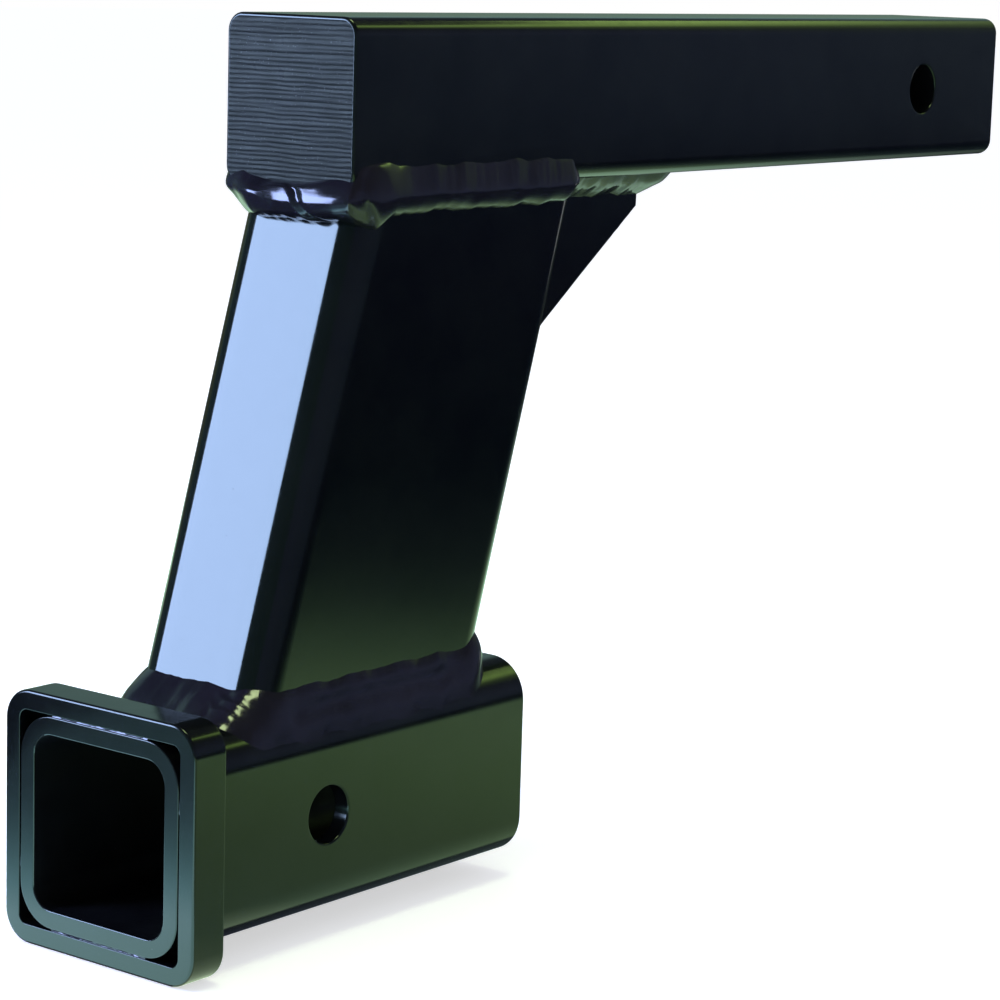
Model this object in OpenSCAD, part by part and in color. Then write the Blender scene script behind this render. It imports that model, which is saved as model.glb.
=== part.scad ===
// Welded hitch drop receiver: a solid square shank, a leaning riser tube below it and a square receiver
// tube with a mouth collar at the bottom, stiffened by a gusset behind the riser.
// X runs along the shank towards its free end, Z is up, and the origin is the centre of the shank's pin hole.

/* [Shank] */
// Width and height of the solid square shank; the riser is as wide
shank_w = 50.8; // [45:0.1:60]
// Length of the shank from its sawn end to its free end
shank_length = 368.3; // [340:0.1:450]
// Radius of the shank's long corners
shank_corner_r = 5.5; // [3.5:0.1:6]
// Chamfer round both ends of the shank
shank_end_break = 1.2; // [0.4:0.1:1.4]
// Distance from the shank's free end to the axis of its pin hole
shank_pin_setback = 52; // [40:0.5:80]
// Diameter of both hitch pin holes
pin_hole_d = 17.46; // [13:0.01:20]

/* [Riser] */
// Depth of the riser tube, measured square to its length
riser_depth = 100; // [80:0.5:110]
// Wall thickness of the riser tube
riser_wall = 6.35; // [5:0.05:8]
// Outer corner radius of the riser tube
riser_corner_r = 10; // [8.5:0.1:12]
// Height between the shank and the receiver
riser_height = 150; // [120:1:220]
// Lean of the riser from upright, in degrees
riser_lean = 17; // [8:0.5:22]
// Distance from the shank's sawn end to the riser's front
riser_setback = 7; // [5:0.1:9]

/* [Receiver] */
// Clearance round a shank inside the socket, on each side
socket_clearance = 0.8; // [0.5:0.1:1.2]
// Wall thickness of the receiver tube
receiver_wall = 5.55; // [5:0.05:7]
// Outer corner radius of the receiver tube
receiver_corner_r = 12.7; // [11:0.1:14]
// Inner corner radius of the receiver tube
socket_corner_r = 7; // [4:0.1:8]
// Distance that the receiver's mouth stands in front of the riser's foot
receiver_reach = 37.3; // [34:0.1:60]
// Distance that the receiver runs on behind the riser's foot
receiver_tail = 14.6; // [12:0.1:40]
// Distance from the mouth to the axis of the receiver's pin hole
receiver_pin_setback = 64; // [45:0.5:80]

/* [Collar] */
// Depth of the mouth collar along the receiver
collar_depth = 13; // [10:0.1:16]
// Thickness of the collar's band
collar_band = 5.85; // [5:0.05:9]
// Gap between the collar and the receiver's flat sides
collar_gap = 0.5; // [0.2:0.05:0.8]
// Outer corner radius of the collar
collar_corner_r = 9.5; // [7:0.1:12]
// Inner corner radius of the collar
collar_inner_r = 3; // [2:0.1:5]
// Chamfer round the collar's outer edges
collar_edge_break = 0.9; // [0.3:0.1:1.5]

/* [Gusset] */
// Thickness of the gusset plate
gusset_thickness = 9.5; // [6:0.1:12]
// Length of the gusset along the shank
gusset_run = 57.3; // [45:0.1:90]
// Height of the gusset down the riser
gusset_drop = 69.2; // [50:0.1:90]
// Height of the gusset's outer end
gusset_nose = 12; // [11:0.1:20]

/* [Welds] */
// Height of the upper weld on the riser's front and front corners, below the shank
top_leg = 8.8; // [8:0.1:11]
// Height of the upper weld on the riser's sides, below the shank
top_side_leg = 6.3; // [5.5:0.1:9]
// Height of the upper weld on the shank's sides, above its underside
top_rise = 8; // [5:0.1:9]
// Height of the upper weld on the shank's sawn end, above its underside
top_front_rise = 1.8; // [1.6:0.1:4]
// How much higher the upper weld climbs at the far front corner
top_corner_climb = 8; // [0:0.1:10]
// How far the upper weld stands proud of the shank
top_proud = 2.6; // [1.5:0.1:4]
// Height of the lower weld on the riser
base_leg = 7.4; // [6:0.1:10]
// How much higher the lower weld climbs at the riser's rear corners
base_rear_climb = 3; // [0:0.1:5]
// Width of the lower weld along the receiver's sides and behind the riser
base_toe = 5.6; // [4:0.1:5.8]
// Width of the lower weld in front of the riser
base_front_toe = 2.6; // [2:0.1:6]
// Extra width of the lower weld at the riser's near front corner
base_spread = 7; // [0:0.1:9]
// Leg of the fillets beside the gusset and behind the riser
gusset_leg = 7.6; // [5:0.1:8]
// How far the weld runs on past the gusset's outer end
gusset_overrun = 14.6; // [9:0.1:20]
// Depth of the lumps along every bead, as a share of its size
bead_lump = 0.09; // [0:0.01:0.12]
// Length of one lump
lump_pitch = 7; // [5:0.1:12]
// Width of the seam weld between collar and receiver
seam_w = 2.4; // [1.5:0.1:3]
// Length of the tack weld on each side of the collar
tack_length = 6; // [4:0.5:7]
// Distance of each side tack from the middle of the mouth
tack_offset = 15.5; // [8:0.5:15.5]

/* [Hidden] */
$fn = 96;

paint = [0.10, 0.11, 0.12];
weld_paint = [0.17, 0.18, 0.20];

half_w = shank_w / 2;
shank_start = shank_pin_setback - shank_length;

riser_top = -half_w;
riser_bottom = riser_top - riser_height;
riser_shift = tan(riser_lean);
riser_depth_x = riser_depth / cos(riser_lean);
riser_half_x = riser_depth_x / 2;
riser_corner_x = riser_corner_r / cos(riser_lean);

socket_w = shank_w + 2 * socket_clearance;
receiver_w = socket_w + 2 * receiver_wall;
receiver_top = riser_bottom;
receiver_mid = receiver_top - receiver_w / 2;
receiver_mouth = riser_front(riser_bottom) - receiver_reach;
receiver_length = receiver_reach + riser_depth_x + receiver_tail;
receiver_flat = receiver_w - 2 * receiver_corner_r;

collar_inner_w = receiver_w + 2 * collar_gap;
collar_outer_w = collar_inner_w + 2 * collar_band;

gusset_half = gusset_thickness / 2;
gusset_start = riser_rear(riser_top);
gusset_end = gusset_start + gusset_run;
gusset_foot = riser_top - gusset_drop;

// Depth to which a bead's hidden root reaches into the pieces that it joins, before it is trimmed to them
root = 1.4;
// How far the hidden root reaches in under the riser's edge
under_edge = 4;
// Gap between two beads that meet at an angle
bead_gap = 0.3;
// How many sections draw one lump of a bead
sections_per_lump = 3;

// X of the riser's front face at height z
function riser_front(z) = shank_start + riser_setback + (z - riser_top) * riser_shift;

// X of the riser's rear face at height z
function riser_rear(z) = riser_front(z) + riser_depth_x;

// X of the middle of the riser's level section at height z
function riser_mid(z) = riser_front(z) + riser_half_x;

function mix(a, b, t) = a + (b - a) * t;

function ease(t) = let (u = min(1, max(0, t))) u * u * (3 - 2 * u);

// 1 at place s = at, falling smoothly to 0 at the given reach on both sides
function bump(s, at, reach) = ease(1 - abs(s - at) / reach);

// Rectangle of size a by b with corners of radius r
module rounded_rect(a, b, r) {
    square([a, b - 2 * r], center = true);
    square([a - 2 * r, b], center = true);
    for (x = [-1, 1], y = [-1, 1]) translate([x * (a / 2 - r), y * (b / 2 - r)]) circle(r);
}

// Side view of a bar of width w with a chamfer c at both ends
module chamfered_side(length, w, c) {
    half = w / 2;
    polygon([
        [0, c - half], [0, half - c], [c, half], [length - c, half],
        [length, half - c], [length, c - half], [length - c, -half], [c, -half]
    ]);
}

// Square bar along +X from the origin, with round long corners and a chamfer round both ends
module chamfered_bar(length, w, r, c) {
    flat = w - 2 * r;
    rotate([90, 0, 0]) linear_extrude(flat, center = true) chamfered_side(length, w, c);
    linear_extrude(flat, center = true) chamfered_side(length, w, c);
    for (y = [-1, 1], z = [-1, 1])
        translate([0, y * flat / 2, z * flat / 2]) rotate([0, 90, 0]) rotate_extrude()
            polygon([[0, 0], [r - c, 0], [r, c], [r, length - c], [r - c, length], [0, length]]);
}

// Square bar along +X from the origin, with round long corners and plain ends
module plain_bar(length, w, r) {
    rotate([90, 0, 90]) linear_extrude(length) rounded_rect(w, w, r);
}

// Hitch pin hole across the part, with its middle at the origin
module pin_hole() {
    rotate([90, 0, 0]) cylinder(h = 2 * collar_outer_w, d = pin_hole_d, center = true);
}

// The shank without its hole
module shank_form() {
    translate([shank_start, 0, 0]) chamfered_bar(shank_length, shank_w, shank_corner_r, shank_end_break);
}

// Leaning bar of the riser's outer size, smaller by inset on every side, and longer than the riser
module riser_prism(inset) {
    reach = riser_height + riser_depth;
    translate([riser_mid(riser_top), 0, riser_top]) rotate([0, riser_lean, 0])
        linear_extrude(2 * reach, center = true)
            rounded_rect(riser_depth - 2 * inset, shank_w - 2 * inset, riser_corner_r - inset);
}

// Level slab between the shank and the receiver, which mitres the riser's ends
module mitre_slab() {
    side = 2 * (riser_depth_x + riser_height);
    translate([riser_mid(riser_top) - side / 2, -side / 2, riser_bottom]) cube([side, side, riser_height]);
}

// The riser without its hollow
module riser_form() {
    intersection() {
        riser_prism(0);
        mitre_slab();
    }
}

// The receiver without its hollow and hole
module receiver_form() {
    translate([receiver_mouth, 0, receiver_mid]) plain_bar(receiver_length, receiver_w, receiver_corner_r);
}

// The gusset, cut to the riser's rear face and the shank's underside
module gusset_form() {
    rotate([90, 0, 0]) linear_extrude(gusset_thickness, center = true) polygon([
        [gusset_start, riser_top], [gusset_end, riser_top], [gusset_end, riser_top - gusset_nose],
        [riser_rear(gusset_foot), gusset_foot]
    ]);
}

// Closed bead through a row of rings, each a loop of as many points
module bead(rings) {
    n = len(rings[0]);
    last = len(rings) - 1;
    sides = [
        for (i = [0:last - 1], j = [0:n - 1])
            let (k = (j + 1) % n)
            each [[i * n + j, (i + 1) * n + j, i * n + k], [i * n + k, (i + 1) * n + j, (i + 1) * n + k]]
    ];
    caps = [[for (j = [0:n - 1]) j], [for (j = [n - 1:-1:0]) last * n + j]];
    polyhedron([for (r = rings, p = r) p], concat(sides, caps));
}

// The riser's outline is counted in eight stretches: 0 to 1 is the front from the far to the near side,
// 1 to 2 the near front corner, 2 to 3 the near side, and so on round to 8, the end of the far front corner.
riser_flat_x = riser_half_x - riser_corner_x;
riser_flat_y = half_w - riser_corner_r;
corner_run = PI / 2 * riser_corner_r;
stretches = [for (i = [0:7]) i % 2 == 1 ? corner_run : (i % 4 == 0 ? 2 * riser_flat_y : 2 * riser_flat_x)];
outline_length = 4 * (corner_run + riser_flat_x + riser_flat_y);
side_lumps = round(outline_length / lump_pitch);
side_swells = round(outline_length / (2.7 * lump_pitch));

function stretch(s) = (floor(s) + 8) % 8;

// Length of the outline from place 0 to place s
function run_to(s) = s <= 0 ? s * corner_run : s <= 1 ? s * stretches[0] :
    let (k = ceil(s) - 1) (s - k) * stretches[k % 8] + run_to(k);

// Place s of the outline, from the middle of the riser's section, as [x, y, direction outwards]
function outline(s) =
    let (
        k = stretch(s), t = s - floor(s), a = 180 + 45 * (k - k % 2) + (k % 2 == 1 ? 90 * t : 0),
        x = k == 2 ? mix(-1, 1, t) : k == 6 ? mix(1, -1, t) : k < 2 || k == 7 ? -1 : 1,
        y = k == 0 ? mix(1, -1, t) : k == 4 ? mix(-1, 1, t) : k > 4 ? 1 : -1
    )
    [x * riser_flat_x + riser_corner_x * cos(a), y * riser_flat_y + riser_corner_r * sin(a), a];

// Places along the outline from a to b, close enough to draw every lump
function stations(a, b) = [
    a,
    for (k = [floor(a):ceil(b) - 1])
        let (
            from = max(a, k), to = min(b, k + 1),
            n = max(2, ceil((to - from) * stretches[stretch(k)] * sections_per_lump / lump_pitch))
        )
        each [for (i = [1:n]) mix(from, to, i / n)]
];

// Size of a bead after a run of its path: about 1, with short lumps and longer swells
function swell(run) =
    1 + bead_lump * (
        0.7 * sin(360 * side_lumps * run / outline_length)
        + 0.5 * sin(360 * side_swells * run / outline_length + 50)
    );

// The largest that a bead of the given size can swell to
function swollen(size) = size * (1 + 1.2 * bead_lump);

// Share of its full size that a bead has near an end that runs out round at place s
function run_out(s, end) = sqrt(mix(0.12, 1, ease(abs(s - end) / 0.16)));

// Ring of a bead at place s of the outline, from its section's points [distance out, height]
function ring(s, section) =
    let (p = outline(s))
    [for (q = section) [riser_mid(q[1]) + p[0] + q[0] * cos(p[2]), p[1] + q[0] * sin(p[2]), q[1]]];

// Outer face of a bead from a to b, both [distance out, height], bulging by the given height
function bulged(a, b, bulge) =
    let (d = b - a, n = [-d[1], d[0]] / norm(d), side = n[0] > 0 ? 1 : -1)
    [for (t = [0.12, 0.32, 0.55, 0.78, 0.93]) a + d * t + n * side * bulge * sin(180 * t)];

// Distance from the outline at place s out to the shank's sawn end or side, whichever comes first
function ledge(s) =
    let (
        p = outline(s), c = cos(p[2]), d = sin(p[2]),
        to_side = abs(d) < 0.01 ? shank_w : (half_w - abs(p[1])) / abs(d),
        to_end = c > -0.01 ? shank_w : -(riser_setback + riser_half_x + p[0]) / c
    )
    min(to_side, to_end);

// Section of the upper weld at place s, where size is its share of the full size
function top_section(s, size = 1) =
    let (
        full = swell(run_to(s)) * size,
        edge = ledge(s),
        at = s > 4 ? s - 8 : s,
        flat = bump(at, -0.5, 1),
        climb = top_corner_climb * bump(at, -0.4, 0.5),
        round_corner = abs(at - 0.5),
        rise = (mix(top_front_rise, top_rise, ease(round_corner - 0.1)) + climb) * full,
        leg = mix(top_leg, top_side_leg, ease((round_corner - 1.1) / 0.6)) * full,
        out = edge + top_proud * full * (1 - flat)
    )
    [
        [-under_edge, riser_top - root],
        [-under_edge, riser_top + root],
        [edge - 1.5 * root, riser_top + rise - root / 3],
        [edge - root / 3, riser_top + rise + root / 3],
        [mix(edge, out, 0.7), riser_top + rise * 0.65],
        [out, riser_top],
        [out * mix(1, 0.65, flat), riser_top - leg * 0.38],
        [out * mix(0.78, 0.32, flat), riser_top - leg * 0.72],
        [out * mix(0.4, 0.1, flat), riser_top - leg * 0.95],
        [-root / 3, riser_top - leg - root / 3],
        [-root, riser_top - leg + root]
    ];

// Section of the weld between the riser's rear and the shank's underside
function top_rear_section(s, size = 1) =
    let (leg = gusset_leg * swell(run_to(s)) * size, foot = [0, riser_top - leg], toe = [leg, riser_top])
    [
        [-under_edge, riser_top - root], [-under_edge, riser_top + root],
        [leg - root, riser_top + root], [leg + root / 3, riser_top + root / 3],
        each bulged(toe, foot, leg * 0.12),
        [-root / 3, riser_top - leg - root / 3], [-root, riser_top - leg + root]
    ];

// Height of the receiver's outer face at distance y from the middle
function receiver_skin(y) =
    let (r = receiver_corner_r, over = max(0, abs(y) - receiver_flat / 2))
    receiver_top - r + sqrt(max(0, r * r - over * over));

// Section of the lower weld at place s
function base_section(s) =
    let (
        full = swell(run_to(s) + lump_pitch / 3),
        p = outline(s),
        at = s > 4 ? s - 8 : s,
        narrow = mix(base_toe, base_front_toe, bump(at, 0.2, 0.9)),
        width = (narrow + base_spread * bump(at, 1.1, 0.9)) * full,
        leg = (base_leg + base_rear_climb * (bump(s, 3.4, 0.45) + bump(s, 5.6, 0.45))) * full,
        skin = function (d) receiver_skin(p[1] + d * sin(p[2])),
        toe = [width, skin(width)]
    )
    [
        [-under_edge, skin(-under_edge) - 2 * root], [-under_edge, riser_bottom + root],
        [-root, riser_bottom + leg - root], [-root / 3, riser_bottom + leg + root / 3],
        each bulged([0, riser_bottom + leg], toe, 1.5 * full),
        [width, toe[1] - root / 2], [width - root, skin(width - root) - root], [0, skin(0) - 2 * root]
    ];

// Places where the side's upper welds run out, and where the near rear one begins and ends
near_end = 3.35;
far_end = 9 - near_end;
rear_from = 3.9;
rear_to = 4 + (riser_flat_y - gusset_half + root) / (2 * riser_flat_y);

// The weld behind the riser on the near side of the gusset
module top_rear_bead() {
    difference() {
        bead([for (s = stations(rear_from, rear_to)) ring(s, top_rear_section(s, run_out(s, rear_from)))]);
        shank_form();
        riser_prism(0);
        gusset_form();
    }
}

// Ring of the gusset's weld under the shank, in the upright plane through [x, 0] that faces direction a
function gusset_ring(x, a, run) =
    let (
        full = swell(run), leg = gusset_leg * full,
        face = gusset_half / max(abs(cos(a)), abs(sin(a))),
        toe = gusset_half + mix(leg, gusset_overrun * full, ease(cos(a)))
    )
    [
        for (q = [
            [gusset_half - root, riser_top - leg + root], [gusset_half - root, riser_top + root],
            [toe - root, riser_top + root], [toe + root / 3, riser_top + root / 3],
            each bulged([toe, riser_top], [face, riser_top - leg], 1.2 * full),
            [face - root / 3, riser_top - leg - root / 3]
        ])
        [x + q[0] * cos(a), q[0] * sin(a), q[1]]
    ];

// Where the gusset's side welds begin and where its end weld takes over
gusset_bead_start = gusset_start + swollen(gusset_leg) + root / 3 + bead_gap;
gusset_bead_end = gusset_end - gusset_half;
gusset_bead_run = gusset_bead_end - gusset_bead_start;
gusset_bead_steps = ceil(gusset_bead_run * sections_per_lump / lump_pitch);
gusset_end_steps = 16;

module gusset_shank_bead() {
    difference() {
        bead([
            for (i = [0:gusset_bead_steps])
                let (run = gusset_bead_run * i / gusset_bead_steps)
                gusset_ring(gusset_bead_start + run, -90, run)
        ]);
        shank_form();
        gusset_form();
    }
}

// Horizontal ring of the near weld between gusset and riser, at height z
function upright_ring(z, run) =
    let (leg = gusset_leg * 0.85 * swell(run), x = riser_rear(z), y = gusset_half)
    [
        for (q = [
            [-root, -root], [leg, -root], [leg + root / 3, -root / 3],
            each bulged([leg, 0], [0, leg], leg * 0.12),
            [-root / 3, leg + root / 3], [-root, leg]
        ])
        [x + q[0], -y - q[1], z]
    ];

upright_top = riser_top - swollen(gusset_leg) - root / 3 - bead_gap;
upright_foot = gusset_foot + 1.6 * gusset_leg;
upright_steps = ceil((upright_top - upright_foot) * sections_per_lump / lump_pitch);

module gusset_riser_bead() {
    difference() {
        bead([
            for (i = [0:upright_steps])
                let (z = mix(upright_top, upright_foot, i / upright_steps))
                upright_ring(z, upright_top - z)
        ]);
        riser_form();
        gusset_form();
    }
}

// Seam weld of the given length in the groove between receiver and collar, on the side of the mouth that
// angle turns to, and moved sideways by offset
module seam(angle, length, offset = 0) {
    translate([receiver_mouth, 0, receiver_mid]) rotate([angle, 0, 0]) translate([0, offset, receiver_w / 2])
        rotate([90, 0, 0]) linear_extrude(length, center = true)
            polygon([[0, 0], [seam_w, 0], [seam_w, collar_gap], [0, collar_gap + seam_w]]);
}

module top_seam() {
    seam(0, receiver_flat);
}

module bottom_seam() {
    seam(180, receiver_flat);
}

module near_tack() {
    seam(90, tack_length, tack_offset);
}

module far_tack() {
    seam(-90, tack_length, tack_offset);
}

module shank_bar() {
    color(paint) difference() {
        shank_form();
        pin_hole();
    }
}

module riser_tube() {
    color(paint) difference() {
        riser_form();
        riser_prism(riser_wall);
    }
}

module receiver_tube() {
    color(paint) difference() {
        receiver_form();
        translate([receiver_mouth - 1, 0, receiver_mid])
            plain_bar(receiver_length + 2, socket_w, socket_corner_r);
        translate([receiver_mouth + receiver_pin_setback, 0, receiver_mid]) pin_hole();
    }
}

module mouth_collar() {
    color(paint) difference() {
        translate([receiver_mouth, 0, receiver_mid])
            chamfered_bar(collar_depth, collar_outer_w, collar_corner_r, collar_edge_break);
        translate([receiver_mouth - 1, 0, receiver_mid])
            plain_bar(collar_depth + 2, collar_inner_w, collar_inner_r);
        top_seam();
        bottom_seam();
        near_tack();
        far_tack();
    }
}

module gusset_plate() {
    color(paint) gusset_form();
}

// Upper weld from place a to place b, which runs out round at place end
module top_weld(a, b, end) {
    color(weld_paint) difference() {
        bead([for (s = stations(a, b)) ring(s, top_section(s, run_out(s, end)))]);
        shank_form();
        riser_form();
    }
}

module top_front_weld() {
    top_weld(-0.5, 1.5, near_end);
}

module top_near_weld() {
    top_weld(1.5, near_end, near_end);
}

module top_far_weld() {
    top_weld(far_end, 7.5, far_end);
}

module top_rear_near_weld() {
    color(weld_paint) top_rear_bead();
}

module top_rear_far_weld() {
    color(weld_paint) mirror([0, 1, 0]) top_rear_bead();
}

// Lower weld from place a to place b
module base_weld(a, b) {
    color(weld_paint) difference() {
        bead([for (s = stations(a, b)) ring(s, base_section(s))]);
        receiver_form();
        riser_form();
    }
}

module base_front_weld() {
    base_weld(-0.5, 1.5);
}

module base_near_weld() {
    base_weld(1.5, 3.5);
}

module base_rear_weld() {
    base_weld(3.5, 5.5);
}

module base_far_weld() {
    base_weld(5.5, 7.5);
}

module gusset_shank_near_weld() {
    color(weld_paint) gusset_shank_bead();
}

module gusset_shank_far_weld() {
    color(weld_paint) mirror([0, 1, 0]) gusset_shank_bead();
}

module gusset_end_weld() {
    color(weld_paint) difference() {
        bead([
            for (i = [0:gusset_end_steps])
                let (a = mix(-90, 90, i / gusset_end_steps))
                gusset_ring(gusset_bead_end, a, gusset_bead_run)
        ]);
        shank_form();
        gusset_form();
    }
}

module gusset_riser_near_weld() {
    color(weld_paint) gusset_riser_bead();
}

module gusset_riser_far_weld() {
    color(weld_paint) mirror([0, 1, 0]) gusset_riser_bead();
}

module collar_top_seam() {
    color(weld_paint) top_seam();
}

module collar_bottom_seam() {
    color(weld_paint) bottom_seam();
}

module collar_near_tack() {
    color(weld_paint) near_tack();
}

module collar_far_tack() {
    color(weld_paint) far_tack();
}

shank_bar();
riser_tube();
receiver_tube();
mouth_collar();
gusset_plate();
top_front_weld();
top_near_weld();
top_far_weld();
top_rear_near_weld();
top_rear_far_weld();
base_front_weld();
base_near_weld();
base_rear_weld();
base_far_weld();
gusset_shank_near_weld();
gusset_shank_far_weld();
gusset_end_weld();
gusset_riser_near_weld();
gusset_riser_far_weld();
collar_top_seam();
collar_bottom_seam();
collar_near_tack();
collar_far_tack();
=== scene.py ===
"""Looks of a welded hitch drop receiver: a glossy black coat over sawn, welded and drilled steel.

Sizes are in millimetres in the part's own frame, with the shank's pin hole at the origin, +X towards the
shank's free end and +Z up. Meshes are scaled to metres as they are made, and the stage is in metres.
"""
import math

import bmesh
import bpy
from mathutils import Matrix, Vector, noise


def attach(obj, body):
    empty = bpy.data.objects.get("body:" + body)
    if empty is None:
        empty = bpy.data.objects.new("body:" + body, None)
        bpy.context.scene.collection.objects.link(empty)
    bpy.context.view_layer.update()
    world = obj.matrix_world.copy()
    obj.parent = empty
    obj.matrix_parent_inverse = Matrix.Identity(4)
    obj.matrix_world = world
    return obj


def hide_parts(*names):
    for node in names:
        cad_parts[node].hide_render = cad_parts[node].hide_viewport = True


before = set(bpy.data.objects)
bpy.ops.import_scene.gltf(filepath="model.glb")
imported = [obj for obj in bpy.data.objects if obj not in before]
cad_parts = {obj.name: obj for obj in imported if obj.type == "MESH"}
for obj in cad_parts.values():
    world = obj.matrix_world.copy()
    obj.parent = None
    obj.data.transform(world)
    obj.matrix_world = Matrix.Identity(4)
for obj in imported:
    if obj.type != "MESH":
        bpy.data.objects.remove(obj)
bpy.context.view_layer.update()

MM = 0.001

# Shank
SHANK_W = 50.8
SHANK_START = -316.3
SHANK_END = 52.0
SHANK_R = 5.5
SHANK_BREAK = 1.0
PIN_R = 8.73
PIN_RIM = 0.7
HOLE_POINTS = 72

# Riser
RISER_TOP = -25.4
RISER_HEIGHT = 150.0
RISER_BOTTOM = RISER_TOP - RISER_HEIGHT
RISER_DEPTH = 100.0
RISER_WALL = 6.35
RISER_R = 10.0
RISER_LEAN = math.radians(17)
RISER_SETBACK = 7.0
RISER_HALF_X = RISER_DEPTH / math.cos(RISER_LEAN) / 2
RISER_R_X = RISER_R / math.cos(RISER_LEAN)
RISER_ARC = 14
RISER_ROWS = 12
RISER_COLS = 6
RISER_STEPS = 12

# Receiver
RECEIVER_W = 63.5
RECEIVER_R = 12.7
SOCKET_W = 52.4
SOCKET_R = 7.0
SOCKET_BREAK = 0.5
SOCKET_PIN_RIM = 0.4
MOUTH_X = -392.46
TAIL_X = -235.99
RECEIVER_Z = RISER_BOTTOM - RECEIVER_W / 2
RECEIVER_PIN_X = MOUTH_X + 64
MOUTH_BREAK = 0.45
RECEIVER_ARC = 12

# Collar
COLLAR_DEPTH = 13.0
COLLAR_OUTER = 76.2
COLLAR_OUTER_R = 9.5
COLLAR_INNER = 64.5
COLLAR_INNER_R = 3.0
COLLAR_BREAK = 0.9
COLLAR_INNER_BREAK = 0.25
COLLAR_ARC = 10
SEAM_W = 2.4
SEAM_POINTS = 9
TACK_LENGTH = 6
TACK_OFFSET = 15.5

# Gusset
GUSSET_HALF = 4.75
GUSSET_RUN = 57.3
GUSSET_DROP = 69.2
GUSSET_NOSE = 12.0
GUSSET_LEG = 7.6
GUSSET_OVERRUN = 14.6
CUT_STEPS = 40
CUT_DRAG = 0.15

# Welds
TOP_LEG = 8.8
TOP_SIDE_LEG = 6.3
TOP_RISE = 8.0
TOP_FRONT_RISE = 1.8
TOP_LOBE = 3.6
TOP_PROUD = 2.6
BASE_LEG = 7.4
BASE_REAR_CLIMB = 3.0
BASE_TOE = 5.6
BASE_FRONT_TOE = 7.0
BASE_SPREAD = 7.0
NEAR_END = 3.35
FAR_END = 9 - NEAR_END
ROOT = 1.4
BEAD_STEP = 0.8
BEAD_POINTS = 24
RIPPLE_PITCH = 2.9

HALF_W = SHANK_W / 2


def mix(a, b, t):
    return a + (b - a) * t


def ease(t):
    u = min(1.0, max(0.0, t))
    return u * u * (3 - 2 * u)


def bump(s, at, reach):
    return ease(1 - abs(s - at) / reach)


def wander(x, y=0.0, z=0.0):
    """Smooth noise from about -1 to 1."""
    return noise.noise(Vector((x, y, z)))


# Mesh building

def finish_mesh(bm, name):
    bmesh.ops.recalc_face_normals(bm, faces=bm.faces[:])
    bmesh.ops.scale(bm, vec=(MM, MM, MM), verts=bm.verts[:])
    for face in bm.faces:
        face.smooth = True
    mesh = bpy.data.meshes.new(name)
    bm.to_mesh(mesh)
    bm.free()
    return mesh


def add_piece(name, bm, nodes, slot, *materials):
    """Turns a bmesh in millimetres into a piece that stands for the CAD nodes."""
    piece = bpy.data.objects.new(name, finish_mesh(bm, name))
    bpy.context.scene.collection.objects.link(piece)
    for material in materials:
        piece.data.materials.append(material)
    even = piece.modifiers.new("even_normals", "WEIGHTED_NORMAL")
    even.weight = 100
    even.keep_sharp = True
    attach(piece, "root")
    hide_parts(*nodes)
    return piece


def side_rows(width, height, r, arc, rows):
    """[half width, height] of the rows of a rounded rectangle, from its bottom to its top."""
    a, b = width / 2 - r, height / 2 - r
    turns = [math.pi / 2 * i / arc for i in range(arc + 1)]
    low = [(a + r * math.sin(t), -b - r * math.cos(t)) for t in turns]
    flat = [(width / 2, mix(-b, b, i / rows)) for i in range(1, rows + 1)]
    high = [(a + r * math.cos(t), b + r * math.sin(t)) for t in turns[1:]]
    return low + flat + high


def outline_loop(rows, cols):
    """Closed loop [across, up] through the rows: up the far side, over the top, down the near side, back."""
    top, low = rows[-1], rows[0]
    return (
        list(rows)
        + [(top[0] * (1 - 2 * c / cols), top[1]) for c in range(1, cols)]
        + [(-w, z) for w, z in reversed(rows)]
        + [(low[0] * (2 * c / cols - 1), low[1]) for c in range(1, cols)]
    )


def skin(bm, rings, closed=False, skip=()):
    """Quads between rings that follow each other; skip names the (ring, point) quads that stay open."""
    count = len(rings[0])
    for i in range(len(rings) - (0 if closed else 1)):
        a, b = rings[i], rings[(i + 1) % len(rings)]
        for j in range(count):
            if (i, j) in skip:
                continue
            k = (j + 1) % count
            bm.faces.new((a[j], a[k], b[k], b[j]))


def square_ring(bm, x, z, size, r, arc, rows, cols):
    loop = outline_loop(side_rows(size, size, r, arc, rows), cols)
    return [bm.verts.new((x, across, z + up)) for across, up in loop]


def round_over(x, break_r, toward, steps=4):
    """[x, inset] of the stations that round an edge at end x, from the end face on."""
    out = []
    for i in range(steps + 1):
        turn = math.pi / 2 * (1 - i / steps)
        out.append((x + toward * break_r * (1 - math.sin(turn)), break_r * (1 - math.cos(turn))))
    return out


def close_end(bm, ring):
    """Flat end face with a crisp edge."""
    bm.faces.new(ring)
    for edge in chain_edges(bm, ring, True):
        edge.smooth = False


def chain_edges(bm, verts, closed=False):
    pairs = list(zip(verts, verts[1:] + verts[:1]))
    return [bm.edges.get(pair) or bm.edges.new(pair) for pair in (pairs if closed else pairs[:-1])]


def fill_pane(bm, border, circle, side):
    """Fills the flat between a closed border and the hole's rim."""
    edges = chain_edges(bm, border, True) + chain_edges(bm, circle, True)
    bmesh.ops.triangle_fill(bm, use_beauty=True, use_dissolve=False, edges=edges, normal=(0, side, 0))


def hole_wall(bm, x, z, stations):
    """Rings of a hole across Y through stations [y, radius]; the first and last are its rims."""
    rings = []
    for y, radius in stations:
        turns = [2 * math.pi * i / HOLE_POINTS for i in range(HOLE_POINTS)]
        rings.append([bm.verts.new((x + radius * math.cos(t), y, z + radius * math.sin(t))) for t in turns])
    skin(bm, rings)
    return rings[0], rings[-1]


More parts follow.
